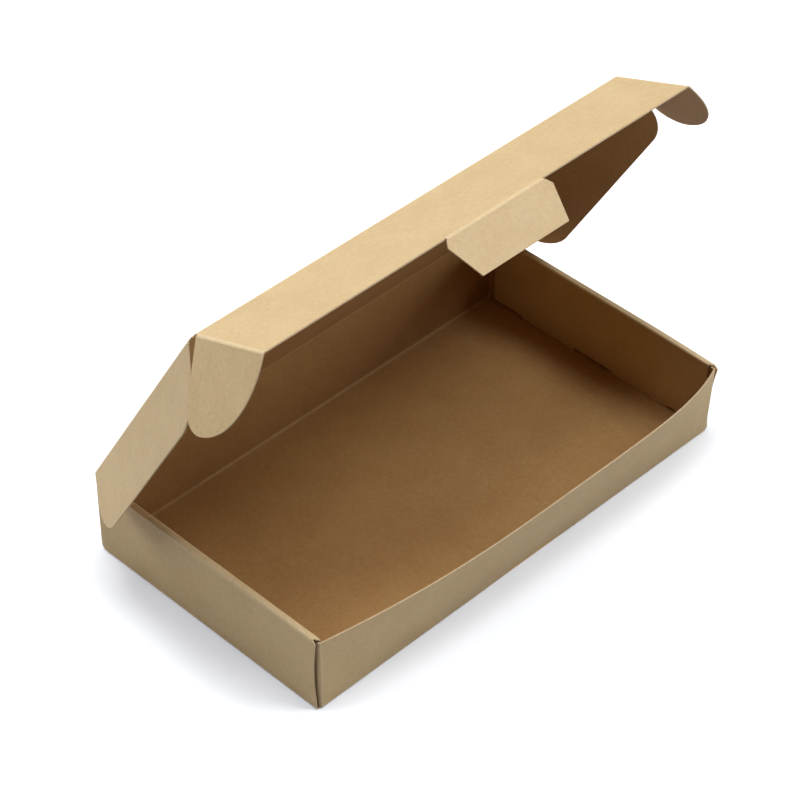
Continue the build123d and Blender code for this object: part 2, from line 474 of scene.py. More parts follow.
@dataclass(frozen=True)
class CutEdge:
    """The raw cut edge of kraft board: paler and duller than its face, with the ends of its fibres."""

    name: str = "kraft_cut_edge"
    pulp: Triple = (0.74, 0.585, 0.385)
    shade: Triple = (0.50, 0.36, 0.21)
    shade_share: float = 0.6
    roughness: float = 0.85
    bump_strength: float = 0.5
    bump_depth: float = 0.00006

    def build(self) -> bpy.types.Material:
        """Make the material.

        Returns:
            The finished material.
        """
        material = bpy.data.materials.new(self.name)
        tree = ShaderTree(material)
        point = tree.millimetres()
        coarse = tree.noise(point, 0.9, 2.0)
        fine = tree.noise(tree.shifted(point, (4.0, 8.0, 15.0)), 0.13, 3.0, 0.65)
        share = (coarse * 0.5 + fine * 0.5).step(0.72, 0.34) * self.shade_share
        colour = tree.blend(share, self.pulp, self.shade)
        look = {"Base Color": colour, "Roughness": self.roughness, "Specular IOR Level": 0.3}
        tree.close(fine, self.bump_strength, self.bump_depth, look)
        return material


class Side(Enum):
    """Left or right of the box, as its sign on X."""

    LEFT = -1
    RIGHT = 1

    @property
    def word(self) -> str:
        """The side's name in the names of pieces."""
        return self.name.lower()


@dataclass(frozen=True)
class Spot:
    """A point of a board's middle surface in millimetres, and how creased the card is there."""

    place: Vector
    crease: float = 0.0


Spots = list[list[Spot]]


@dataclass(frozen=True)
class CardStock:
    """The card of every panel: its outer, inner and cut finishes, its folds and its edges."""

    finishes: tuple[bpy.types.Material, ...]
    thickness: float = 0.5
    fold_radius: float = 0.5
    fold_steps: int = 5
    crease_reach: float = 0.9
    edge_softness: float = 0.05
    edge_angle: float = 55.0
    wave: float = 0.07
    wave_size: float = 26.0

    def crease_at(self, distance: float) -> float:
        """How creased the card is at a distance from a fold: 1 in it, falling to 0."""
        share = clamp(1 - distance / self.crease_reach)
        return share * share * (3 - 2 * share)

    def unevenness(self, *place: float) -> float:
        """How far the wavy card stands off its plane at a point, in millimetres."""
        return self.wave * noise.noise(Vector(place) / self.wave_size)


class CardBoard:
    """Card gathered patch by patch as its middle surface, then given its thickness and cut edges."""

    def __init__(self, name: str, stock: CardStock) -> None:
        """Start an empty board.

        Args:
            name: the finished piece's name.
            stock: the card that it is cut from.
        """
        self.name = name
        self.stock = stock
        self.surface = bmesh.new()
        self.crease = self.surface.verts.layers.float.new("crease")

    def patch(self, spots: Spots, keep: Keep | None = None) -> None:
        """Add a grid of card.

        Args:
            spots: its rows of spots.
            keep: says by row and column which cells are card; all of them without it.
        """
        rows = []
        for line in spots:
            rows.append([self.surface.verts.new(spot.place) for spot in line])
            for vertex, spot in zip(rows[-1], line):
                vertex[self.crease] = spot.crease
        for i, (near, far) in enumerate(zip(rows, rows[1:])):
            for j in range(len(near) - 1):
                if keep is None or keep(i, j):
                    self.surface.faces.new((near[j], near[j + 1], far[j + 1], far[j]))

    def join(self, mesh: bpy.types.Mesh) -> None:
        """Add a finished middle surface, such as one that a node tree made."""
        self.surface.from_mesh(mesh)
        bpy.data.meshes.remove(mesh)

    def middle(self, outside: Vector) -> bpy.types.Object:
        """Weld the patches and turn their faces to the sheet's outer side.

        Args:
            outside: roughly the way that the outer side faces.

        Returns:
            An object that holds the middle surface in millimetres.
        """
        bmesh.ops.remove_doubles(self.surface, verts=self.surface.verts, dist=WELD)
        thin = [face for face in self.surface.faces if face.calc_area() < SLIVER]
        bmesh.ops.delete(self.surface, geom=thin, context="FACES")
        loose = [vertex for vertex in self.surface.verts if not vertex.link_faces]
        bmesh.ops.delete(self.surface, geom=loose, context="VERTS")
        bmesh.ops.recalc_face_normals(self.surface, faces=self.surface.faces)
        mesh = bpy.data.meshes.new(self.name)
        self.surface.to_mesh(mesh)
        self.surface.free()
        face_outwards(mesh, outside)
        return placed(self.name, mesh)

    def finish(self, outside: Vector) -> bpy.types.Object:
        """Make the finished piece, whose outer side faces roughly the given way."""
        return thicken(self.middle(outside), self.stock, self.stock.thickness)


def face_outwards(mesh: bpy.types.Mesh, outside: Vector) -> None:
    """Turn a middle surface over where most of it faces the wrong way.

    Args:
        mesh: the middle surface.
        outside: roughly the way that the sheet's outer side faces.
    """
    total = sum((polygon.normal * polygon.area for polygon in mesh.polygons), Vector())
    if total.dot(outside) < 0:
        mesh.flip_normals()


def plain_mesh(thing: bpy.types.Object) -> bpy.types.Mesh:
    """Work out an object's modifiers and take the object away.

    Args:
        thing: an object with modifiers.

    Returns:
        The plain mesh.
    """
    bpy.context.view_layer.update()
    graph = bpy.context.evaluated_depsgraph_get()
    mesh = bpy.data.meshes.new_from_object(thing.evaluated_get(graph), depsgraph=graph)
    spent = thing.data
    bpy.data.objects.remove(thing)
    bpy.data.meshes.remove(spent)
    return mesh


def thicken(thing: bpy.types.Object, stock: CardStock, thickness: float) -> bpy.types.Object:
    """Turn a middle surface in millimetres into a board in metres, with soft cut edges.

    Args:
        thing: the object that holds the middle surface.
        stock: the card.
        thickness: the board's thickness in millimetres.

    Returns:
        The finished piece.
    """
    name = thing.name
    thing.data.materials.clear()
    for finish in stock.finishes:
        thing.data.materials.append(finish)
    for polygon in thing.data.polygons:
        polygon.material_index = 0
        polygon.use_smooth = True
    shell = {
        "thickness": thickness,
        "offset": 0.0,
        "use_even_offset": True,
        "use_quality_normals": True,
        "material_offset": 1,
        "material_offset_rim": 2,
    }
    soft = {
        "width": stock.edge_softness,
        "segments": 2,
        "limit_method": "ANGLE",
        "angle_limit": radians(stock.edge_angle),
        "harden_normals": True,
        "use_clamp_overlap": False,
    }
    for kind, settings in (("SOLIDIFY", shell), ("BEVEL", soft)):
        modifier = thing.modifiers.new(kind.lower(), kind)
        for key, value in settings.items():
            setattr(modifier, key, value)
    mesh = plain_mesh(thing)
    mesh.name = name
    mesh.transform(Matrix.Scale(MM, 4))
    return placed(name, mesh)


@dataclass(frozen=True)
class Run:
    """A straight run or a bend of a line: its length, start, heading and how far it turns."""

    length: float
    start: Vector
    heading: Vector
    turn: float = 0.0

    def at(self, along: float) -> Vector:
        """A point of the run.

        Args:
            along: millimetres along it.

        Returns:
            The point.
        """
        if self.turn == 0.0:
            return self.start + self.heading * along
        radius = self.length / abs(self.turn)
        angle = abs(self.turn) * along / self.length
        side = Vector((-self.heading.y, self.heading.x)) * (1 if self.turn > 0 else -1)
        return self.start + self.heading * radius * sin(angle) + side * radius * (1 - cos(angle))


class RoundedLine:
    """A line in a plane: straight runs between rounded corners."""

    bend_step = 0.8
    bend_points = 4

    def __init__(self, corners: list[tuple[float, float]], radii: list[float]) -> None:
        """Measure the line's straight runs and bends.

        Args:
            corners: its corners and its two ends.
            radii: the radius at each corner between the ends.
        """
        points = [Vector(corner) for corner in corners]
        place = points[0]
        self.runs: list[Run] = []
        for before, corner, after, radius in zip(points, points[1:], points[2:], radii):
            into, out = (corner - before).normalized(), (after - corner).normalized()
            turn = atan2(into.x * out.y - into.y * out.x, into.dot(out))
            trim = radius * tan(abs(turn) / 2)
            start = corner - into * trim
            self.runs.append(Run((start - place).length, place, into))
            self.runs.append(Run(radius * abs(turn), start, into, turn))
            place = corner + out * trim
        last = points[-1] - place
        self.runs.append(Run(last.length, place, last.normalized()))
        self.length = sum(run.length for run in self.runs)

    def points(self, step: float) -> list[Vector]:
        """Points along the line.

        Args:
            step: their widest spacing on its straight runs.

        Returns:
            The points, with both ends.
        """
        found = [self.runs[0].start]
        for run in self.runs:
            least, pitch = (self.bend_points, self.bend_step) if run.turn else (1, step)
            count = max(least, ceil(run.length / pitch))
            found += [run.at(run.length * i / count) for i in range(1, count + 1)]
        return found


class FoldPath(RoundedLine):
    """A strip of card in profile, with every corner folded to the card's own radius."""

    insets = (0.0, 0.35, 0.9, 2.0)
    closest = 0.02

    def __init__(self, corners: list[tuple[float, float]], stock: CardStock) -> None:
        """Fold a strip of card along a line of corners."""
        super().__init__(corners, [stock.fold_radius] * (len(corners) - 2))
        self.stock = stock

    def at(self, along: float) -> Vector:
        """A point of the profile.

        Args:
            along: millimetres along the card.

        Returns:
            The point.
        """
        for run in self.runs:
            if along <= run.length + TINY:
                break
            along -= run.length
        return run.at(min(along, run.length))

    def crease(self, along: float) -> float:
        """How creased the card is at a place.

        Args:
            along: millimetres along the card.

        Returns:
            1 in a fold, falling to 0 away from it.
        """
        best, start = 1e9, 0.0
        for run in self.runs:
            if run.turn:
                best = min(best, max(start - along, along - start - run.length, 0.0))
            start += run.length
        return self.stock.crease_at(best)

    def stations(self, step: float) -> list[float]:
        """Places along the card for a mesh: close together in and beside the folds.

        Args:
            step: the widest spacing in millimetres.

        Returns:
            Distances along the card, rising.
        """
        places, start, edge = {0.0, self.length}, 0.0, self.insets[-1]
        for run in self.runs:
            end = start + run.length
            if run.turn:
                count = self.stock.fold_steps
                places.update(start + run.length * i / count for i in range(count + 1))
            else:
                near = [inset for inset in self.insets if inset < run.length / 2]
                places.update([start + inset for inset in near] + [end - inset for inset in near])
                free = run.length - 2 * edge
                count = max(1, round(free / step))
                places.update(start + edge + free * i / count for i in range(1, count))
            start = end
        tidy = []
        for place in sorted(places):
            if not tidy or place - tidy[-1] > self.closest:
                tidy.append(place)
        return tidy


@dataclass
class FrontWallRule:
    """Node tree that bows a flat strip out of upright, most at its top.

    The bow falls off by a power of the distance from the wall's middle.
    """

    height: float = 28.0
    foot: float = 0.75
    bend_start: float = 3.5
    plane: float = -49.75
    half_width: float = 88.05
    bow: float = 7.6
    power_left: float = 2.25
    power_right: float = 6.0
    end_lean: float = 1.8
    seed: float = 7.0
    wave: float = 0.05

    def rise(self, z: float) -> float:
        """A height's share of the wall's, from its foot."""
        return max(0.0, (z - self.foot) / (self.height - self.foot))

    def lean_at(self, x: float, z: float) -> float:
        """The wall's place on Y; its right end is loose and leans too.

        Args:
            x: the place across the box.
            z: the height.

        Returns:
            The place in millimetres.
        """
        power, end = (self.power_right, self.end_lean) if x > 0 else (self.power_left, 0.0)
        share = min(1.0, abs(x / self.half_width) ** power)
        return self.plane - self.rise(z) * (self.bow * (1 - share) + end * share)

    def end_height(self, z: float, lean: float) -> float:
        """Where a height of the upright card comes to lie at an end that leans out.

        Args:
            z: the height before it leans.
            lean: how far the end's top leans out.

        Returns:
            The height after it, in millimetres.
        """
        start = self.bend_start
        share = (sqrt(self.height**2 - lean**2) - start) / (self.height - start)
        return z if z <= start else start + (z - start) * share

    def sizes(self) -> dict[str, float]:
        """The node tree's inputs by name: every size of the rule."""
        return {name.replace("_", " ").capitalize(): value for name, value in vars(self).items()}

    def tree(self, finish: bpy.types.Material) -> GeometryTree:
        """Build the node tree.

        Args:
            finish: the material that the tree sets.

        Returns:
            The tree, with the wall's sizes as its inputs.
        """
        nodes = GeometryTree("bowed_front_wall")
        flat = nodes.entry("Flat strip", "NodeSocketGeometry")
        given = {name: nodes.entry(name) for name in self.sizes()}
        full, foot, start = (given[name] for name in ("Height", "Foot", "Bend start"))
        spot = nodes.node("GeometryNodeInputPosition")
        x = nodes.axis(spot, "X")
        edge = abs(x) / given["Half width"]
        right = x.above(0.0)
        reach = edge ** (given["Power right"] * right + given["Power left"] * (1 - right))
        bow = given["Bow"] * (1 - reach) + given["End lean"] * reach * right
        share = (nodes.axis(spot, "Z") - start) / (full - start)
        height = start + share * ((full * full - bow * bow) ** 0.5 - start)
        lean = (height - foot) / (full - foot)
        fade = share * (1 - share) * 4 * (1 - edge**8.0)
        waves = nodes.waves(spot, 0.05, given["Seed"], given["Wave"], fade)
        nodes.close(flat, (x, given["Plane"] - lean * bow + waves, height), finish)
        return nodes


@dataclass
class Tray:
    """Base, bowed front wall, back wall, rolled side walls and the four corner flaps."""

    stock: CardStock
    front: FrontWallRule = field(default_factory=FrontWallRule)
    pitch: float = 3.0
    wall_pitch: float = 3.3
    depth_pitch: float = 3.2
    ply_pitch: float = 3.4
    skin: float = 0.25
    foot: float = 0.75
    half_depth: float = 50.0
    side_fold: float = 89.25
    side_plane: float = 89.75
    wall_plane: float = 49.75
    roll_end: float = 49.25
    roll_top: float = 29.05
    side_height: float = 29.3
    base_end: float = 46.55
    depth_marks: tuple[float, ...] = (-49.03, -48.565, -47.635, 46.25)
    base_seams: tuple[float, ...] = (88.25, 88.65)
    base_wave: float = 1.3
    base_calm: tuple[float, float, float] = (88.0, 46.5, 12.0)
    front_rows: tuple[float, ...] = (6.0, 25.5, 27.2)
    back_top: float = 31.1
    back_rows: tuple[float, ...] = (0.75, 1.1, 1.65, 2.75, 26.0)
    back_corner: float = 47.45
    bead: float = 0.09
    wall_end: float = 88.05
    corner_flap: float = 88.55
    corner_flap_length: float = 24.0
    corner_flap_height: float = 28.0
    flap_drop: tuple[float, float] = (0.24, 0.40)
    inner_ply: float = 87.85
    inner_foot: float = 1.5
    inner_ply_gap: float = 3.0
    side_wave: float = 2.2
    side_wave_seed: float = 40.0
    side_calm: tuple[float, float, float] = (0.9, 28.2, 6.0)
    hollow: float = 0.9
    snip: float = 1.4
    snip_start: tuple[float, float] = (88.8, 27.9)
    snip_slope: tuple[float, float] = (3.0, 1.1)
    slack: dict[Side, float] = field(default_factory=lambda: {Side.LEFT: 0.0, Side.RIGHT: 1.0})
    slack_shift: Triple = (0.5, -2.3, -1.4)
    slack_reach: float = 30.0
    back_round: float = 3.0
    back_free: float = 46.2
    tab_length: float = 25.0
    tab_pitch: float = 42.0
    tab_end: float = 0.1
    foot_slot: tuple[float, float] = (87.45, 88.25)
    foot_slot_play: float = 0.15
    strip_start: float = 48.55
    strip_lap: float = 2.0
    strip_flat: float = 0.7
    lip_rows: tuple[float, ...] = (0, 0.35, 0.65, 0.8, 0.871, 0.935, 1)
    rise_rows: tuple[float, ...] = (0, 0.0638, 0.1228, 0.255, 0.447, 0.67, 1)
    rise_run: float = 3.135
    slot_shut: float = 1.1
    slot_middle: float = 3.0
    slot_half: float = 21.1
    slot_height: float = 1.95
    slot_nub: float = 1.0
    slot_notch: float = 23.3
    slot_notch_radius: float = 1.1
    slot_shares: tuple[float, ...] = (-1, -0.97, -0.9, -0.75, 0.75, 0.9, 0.97, 1)
    arch_shares: tuple[float, ...] = (-1, -0.92, -0.7, -0.38, 0, 0.38, 0.7, 0.92, 1)

    @property
    def arc(self) -> float:
        """Length of card in one square fold."""
        return self.stock.fold_radius * pi / 2

    def columns(self) -> list[float]:
        """Places across the box that the base, front and back walls share.

        Returns:
            The places, rising.
        """
        arches = (
            (self.slot_middle, self.slot_half, self.slot_shares),
            (self.slot_middle, self.slot_nub, self.arch_shares),
            (self.slot_notch, self.slot_notch_radius, self.arch_shares),
        )
        marks = [middle + half * share for middle, half, shares in arches for share in shares]
        for end in (self.wall_end, self.foot_slot[0]):
            marks += [-end, end]
        return spread(marks, self.pitch)

    def slot_edges(self, x: float) -> tuple[float, float]:
        """The lock slot's two edges: a lens with a nub in its middle and a notch at its end.

        Args:
            x: a place across the box.

        Returns:
            Where its edges lie along the front fold's strip; equal off the slot.
        """
        low = self.slot_shut
        share = dome(x, self.slot_middle, self.slot_half)
        if share == 0.0:
            return low, low
        high = low + self.slot_height * share
        high -= self.slot_nub * sqrt(dome(x, self.slot_middle, self.slot_nub))
        high += self.slot_notch_radius * sqrt(dome(x, self.slot_notch, self.slot_notch_radius))
        return low, max(high, low)

    def front_spot(self, x: float, along: float) -> Spot:
        """A point of the front fold's strip.

        Args:
            x: the place across the box.
            along: millimetres along the card from the strip's start, rising up the wall.

        Returns:
            The spot.
        """
        radius, bend_end = self.stock.fold_radius, self.strip_flat + self.arc
        crease = self.stock.crease_at(max(self.strip_flat - along, along - bend_end, 0.0))
        if along <= self.strip_flat:
            place = (x, -self.strip_start - along, self.skin)
        elif along <= bend_end:
            angle = (along - self.strip_flat) / radius
            place = (x, -self.roll_end - radius * sin(angle), self.foot - radius * cos(angle))
        else:
            z = self.foot + along - self.strip_flat - self.arc
            place = (x, self.front.lean_at(x, z), z)
        return Spot(Vector(place), crease)

    def lay_front(self, board: CardBoard, columns: list[float]) -> None:
        """Add the front fold with its lock slot, the wall that the node tree bows, and its corner flaps.

        Args:
            board: the tray's board.
            columns: places across the box.
        """
        plain = self.strip_flat + self.arc + self.front.bend_start - self.foot
        edges = [self.slot_edges(x) for x in columns]
        below = [(-self.strip_lap, low + self.strip_lap) for low, _ in edges]
        above = [(high, plain - high) for _, high in edges]
        for shares, runs in ((self.lip_rows, below), (self.rise_rows, above)):
            strips = [(x, *run) for x, run in zip(columns, runs)]
            board.patch([[self.front_spot(x, start + run * f) for x, start, run in strips] for f in shares])
        marks = [self.front.bend_start, *self.front_rows, self.front.height]
        rows = spread(marks, self.wall_pitch)
        strip = CardBoard("front_wall_strip", self.stock)
        strip.patch([[Spot(Vector((x, 0.0, z))) for x in columns] for z in rows])
        tree = self.front.tree(self.stock.finishes[0])
        board.join(tree.run(strip.middle(Vector((0.0, -1.0, 0.0))), self.front.sizes()))
        heights = [self.slot_shut + self.rise_run * f for f in self.rise_rows]
        heights = [self.foot + along - self.strip_flat - self.arc for along in heights]
        self.lay_flaps(board, -1, [z for z in heights if z > self.foot - 0.01] + rows[1:])

    def lay_flaps(self, board: CardBoard, end: int, heights: list[float]) -> None:
        """Add the two corner flaps at one end of the tray, let down to the base past their first fold.

        Args:
            board: the tray's board.
            end: -1 at the front and 1 at the back.
            heights: their rows.
        """
        plane, tip = end * self.wall_plane, end * (self.half_depth - self.corner_flap_length)
        corners = [(self.wall_end, plane), (self.corner_flap, plane), (self.corner_flap, tip)]
        path = FoldPath(corners, self.stock)
        turned_drop, middle_drop = self.flap_drop
        for side in Side:
            lean = self.front.end_lean if end < 0 and side is Side.RIGHT else 0.0
            rows = []
            for i, height in enumerate(heights):
                z = self.front.end_height(height, lean)
                slide = lean * self.front.rise(z)
                row = []
                for along in path.stations(self.pitch):
                    spot, turned = path.at(along), min(1.0, along / self.arc)
                    drop = 0.0 if i else turned_drop * turned + middle_drop * sin(pi * turned)
                    place = Vector((side.value * spot.x, spot.y - slide, z - drop))
                    row.append(Spot(place, path.crease(along)))
                rows.append(row)
            board.patch(rows)

    def lay_back(self, board: CardBoard, columns: list[float]) -> None:
        """Add the back fold, the back wall up to the lid's fold, and its corner flaps.

        Args:
            board: the tray's board.
            columns: places across the box.
        """
        plane, skin = self.wall_plane, self.skin
        path = FoldPath([(self.roll_end, skin), (plane, skin), (plane, self.back_top)], self.stock)
        marks = [*self.back_rows, self.corner_flap_height, self.back_top]
        straight = spread(marks, self.wall_pitch)
        stations = [s for s in path.stations(self.pitch) if s <= self.arc + TINY]
        stations += [self.arc + z - self.foot for z in straight[1:]]
        rows = []
        for along in stations:
            spot, crease = path.at(along), path.crease(along)
            bead = self.bead * sin(pi * along / self.arc) if along < self.arc else 0.0
            rows.append([Spot(Vector((x, spot.x - bead, spot.y + bead)), crease) for x in columns])
        board.patch(rows)
        self.lay_flaps(board, 1, [z for z in straight if z <= self.corner_flap_height + TINY])

    def depths(self) -> list[float]:
        """Places from front to back that the base and the side walls share.

        Returns:
            The places, rising.
        """
        marks = [-self.roll_end, -self.base_end, *self.depth_marks, self.roll_end]
        half, reach = self.tab_pitch / 2, self.tab_length / 2
        for middle in (-half, half):
            for end in (reach, reach + self.foot_slot_play):
                marks += [middle - end, middle + end]
        return spread(marks, self.depth_pitch)

    def on_tab(self, y: float, play: float = 0.0) -> bool:
        """Whether a place from front to back is at a foot tab, with play at its ends."""
        return abs(abs(y) - self.tab_pitch / 2) < self.tab_length / 2 + play

    def lay_base(self, board: CardBoard, columns: list[float]) -> None:
        """Add the base with its foot slots, out to the side folds.

        Args:
            board: the tray's board.
            columns: places across the box.
        """
        seams = [*self.base_seams, self.side_fold]
        wide = [*(-x for x in reversed(seams)), *columns, *seams]
        inner = [y for y in self.depths() if y >= -self.base_end]
        outer = [y for y in self.depths() if y <= -self.base_end]

        def keep(i: int, j: int) -> bool:
            """Whether the cell in row i and column j is card, and not a foot slot."""
            across = self.foot_slot[0] < abs(wide[j] + wide[j + 1]) / 2 < self.foot_slot[1]
            return not (across and self.on_tab((inner[i] + inner[i + 1]) / 2, self.foot_slot_play))

        board.patch([[self.base_spot(x, y) for x in wide] for y in inner], keep)
        for side in Side:
            edge = [side.value * x for x in (self.wall_end, *seams)]
            board.patch([[self.base_spot(x, y) for x in edge] for y in outer])

    def base_spot(self, x: float, y: float) -> Spot:
        """A point of the base, a little uneven, drawn in at its round back corners.

        Args:
            x: the place across the box.
            y: the place from front to back.

        Returns:
            The spot.
        """
        crease = self.stock.crease_at(min(self.side_fold - abs(x), abs(self.roll_end - abs(y))))
        if abs(x) > self.side_fold - NEAR and y > self.roll_end - NEAR:
            y = self.back_corner
        calm_x, calm_y, run = self.base_calm
        inset = clamp(min(calm_x - abs(x), calm_y - abs(y)) / run)
        lift = (self.stock.unevenness(x, y, 0.0) + self.stock.wave) * inset * self.base_wave
        return Spot(Vector((x, y, self.skin + lift)), crease)

    def lay_side(self, board: CardBoard, side: Side) -> None:
        """Add a rolled side wall: fold, outer ply, top, inner ply and foot tabs.

        Args:
            board: the tray's board.
            side: the side that it stands on.
        """
        plane, inner, top = self.side_plane, self.inner_ply, self.roll_top
        corners = [(self.side_fold, self.skin), (plane, self.skin), (plane, top), (inner, top)]
        path = FoldPath([*corners, (inner, self.tab_end)], self.stock)
        outer_end = sum(run.length for run in path.runs[:3]) + 0.01
        foot = path.length - (self.inner_foot - self.tab_end)
        stations = [s for s in path.stations(self.ply_pitch) if abs(s - foot) > 0.2 and s < path.length]
        stations = sorted([*stations, foot, path.length])
        depths = self.depths()
        low, high, run = self.side_calm
        seed = side.value * self.side_wave_seed
        rows = []
        for along in stations:
            spot, crease = path.at(along), path.crease(along)
            calm = clamp((spot.y - low) / run) * clamp((high - spot.y) / run)
            row = []
            for y in depths:
                y = self.roll_end_at(y, spot, along < outer_end)
                wave = self.stock.unevenness(seed, y, spot.y) * self.side_wave * calm
                shift = self.slackened(side, y, spot)
                place = (side.value * (spot.x + wave + shift.x), y + shift.y, spot.y + shift.z)
                row.append(Spot(Vector(place), crease))
            rows.append(row)
        board.patch(
            rows, lambda i, j: stations[i] < foot - TINY or self.on_tab((depths[j] + depths[j + 1]) / 2)
        )

    def slackened(self, side: Side, y: float, spot: Vector) -> Vector:
        """How far the outer ply shifts near its front end, where nothing holds it.

        Args:
            side: the side that it stands on.
            y: the place from front to back.
            spot: the profile's point there, as X and Z.

        Returns:
            The shift in millimetres, with X away from the box's middle.
        """
        near = clamp((self.slack_reach - self.roll_end - y) / self.slack_reach)
        outer = clamp((spot.x - self.inner_ply) / (self.side_plane - self.inner_ply))
        rise = max(0.0, spot.y - self.foot) / self.side_height
        return Vector(self.slack_shift) * (self.slack[side] * near * near * outer * rise)

    def roll_end_at(self, y: float, spot: Vector, on_outer: bool) -> float:
        """Trim a place from front to back to the rolled wall's ends.

        Args:
            y: the place.
            spot: the profile's point there, as X and Z.
            on_outer: whether it is on the outer ply.

        Returns:
            The trimmed place.
        """
        front, back = -self.roll_end, self.roll_end
        snip_x, snip_z = self.snip_start
        if on_outer:
            rise = clamp((spot.y - self.foot) / (snip_z - self.foot))
            front += self.hollow * 4 * rise * (1 - rise)
            drop = max(0.0, self.back_round - spot.y)
            back -= self.back_round - sqrt(self.back_round**2 - drop * drop)
        elif spot.x < self.side_plane - self.skin:
            back -= self.inner_ply_gap
        if spot.y > snip_z and spot.x > snip_x:
            cuts = ((spot.x - snip_x) * self.snip_slope[0], (spot.y - snip_z) * self.snip_slope[1])
            front = max(front, -self.roll_end + min(self.snip, *cuts))
        if y < NEAR - self.base_end:
            run = self.roll_end - self.base_end
            return front + (y + self.roll_end) * (-self.base_end - front) / run
        return min(y, back) if y > self.back_free else y

    def shaded_and_crushed_slot_lip(self, piece: bpy.types.Object) -> None:
        """Give the lock slot's lower lip the liner's colour: partly for the fold's crushed cut edge, and
        partly as painted shade for the dark inside seen through the slot.

        Args:
            piece: the tray's card.
        """
        low, high = -self.roll_end - 0.7, -self.roll_end + self.skin
        for polygon in piece.data.polygons:
            x, y, z = polygon.center / MM
            if abs(x - self.slot_middle) < self.slot_half and low < y < high and z < self.foot:
                # painted shade: the lip's cut edge takes the darker liner's colour
                polygon.material_index = 1 if polygon.material_index == 2 else polygon.material_index

    def build(self) -> bpy.types.Object:
        """Make the tray's card.

        Returns:
            The piece.
        """
        board = CardBoard("tray_card", self.stock)
        columns = self.columns()
        self.lay_base(board, columns)
        self.lay_front(board, columns)
        self.lay_back(board, columns)
        for side in Side:
            self.lay_side(board, side)
        piece = board.finish(Vector((0.0, 0.0, -1.0)))
        self.shaded_and_crushed_slot_lip(piece)
        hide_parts("tray")
        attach(piece, "tray")
        return piece


@dataclass
class CreaseRule:
    """Node tree that bends a strip of card round a fold, with a little of both panels beside it."""

    reach: float = 0.5
    lap: float = 0.45
    across: int = 15
    step: float = 2.5
    thickness: float = 0.53
    wave: float = 0.03

    def sizes(self, length: float, angle: float, seed: int) -> dict[str, float]:
        """The node tree's inputs by name.

        Args:
            length: the strip's length in millimetres.
            angle: how far it is folded, in radians.
            seed: the seed of its unevenness.

        Returns:
            Their values.
        """
        return {
            "Length": length,
            "Angle": angle,
            "Radius": self.reach / tan(angle / 2),
            "Reach": self.reach,
            "Lap": self.lap,
            "Wave": self.wave,
            "Seed": float(seed),
            "Vertices along": max(3, round(length / self.step)),
            "Vertices across": self.across,
        }

    def tree(self, finish: bpy.types.Material) -> GeometryTree:
        """Build the node tree.

        Args:
            finish: the material that the tree sets.

        Returns:
            The tree, with the fold's sizes as its inputs.
        """
        nodes = GeometryTree("folded_strip")
        names = ("Length", "Angle", "Radius", "Reach", "Lap", "Wave", "Seed")
        length, angle, radius, reach, lap, wave, seed = (nodes.entry(name) for name in names)
        along, across = (nodes.entry(f"Vertices {way}", "NodeSocketInt") for way in ("along", "across"))
        half = radius * angle * 0.5
        sockets = {"Size X": length, "Size Y": (half + lap) * 2, "Vertices X": along, "Vertices Y": across}
        flat = nodes.node("GeometryNodeMeshGrid", None, sockets)
        spot = nodes.node("GeometryNodeInputPosition")
        x, y = nodes.axis(spot, "X"), nodes.axis(spot, "Y")
        turned = ((y + half) / radius).at_least(0.0).at_most(angle)
        before = (y + half).at_most(0.0)
        after = (y - half).at_least(0.0)
        crease = 1 - ((abs(y) - half) / lap).at_least(0.0).at_most(1.0)
        sockets = {"Geometry": flat, "Name": "crease", "Value": crease}
        settings = {"data_type": "FLOAT", "domain": "POINT"}
        marked = nodes.node("GeometryNodeStoreNamedAttribute", settings, sockets)
        swell = nodes.waves(spot, 0.35, seed, wave, crease)
        out = radius * turned.sine() - reach + before + after * angle.cosine() + turned.sine() * swell
        up = radius * (1 - turned.cosine()) + after * angle.sine() - turned.cosine() * swell
        nodes.close(marked, (x, out, up), finish)
        return nodes


@dataclass(frozen=True)
class Crease:
    """One fold of the lid: where it runs, how far it is turned, and the two bodies that it joins."""

    name: str
    frame: Matrix
    length: float
    angle: float
    parent: str
    child: str
    seed: int


class CreaseMaker:
    """Makes the strips of bent card that join the lid's panels across their folds."""

    def __init__(self, stock: CardStock, rule: CreaseRule) -> None:
        """Build the node tree that every strip shares.

        Args:
            stock: the card.
            rule: the strips' sizes.
        """
        self.stock = stock
        self.rule = rule
        self.tree = rule.tree(stock.finishes[0])

    def make(self, crease: Crease) -> bpy.types.Object:
        """Make one strip, bent as far as its fold is turned.

        Args:
            crease: the fold.

        Returns:
            The piece.
        """
        angle, reach = radians(crease.angle), self.rule.reach
        thing = placed(crease.name, bpy.data.meshes.new(crease.name))
        flat = self.tree.run(thing, self.rule.sizes(crease.length, angle, crease.seed))
        flat.transform(crease.frame)
        face_outwards(flat, -crease.frame.col[2].to_3d())
        piece = thicken(placed(crease.name, flat), self.stock, self.rule.thickness)
        end = crease.frame @ Vector((0.0, reach * cos(angle), reach * sin(angle)))
        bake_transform(piece)
        return piece


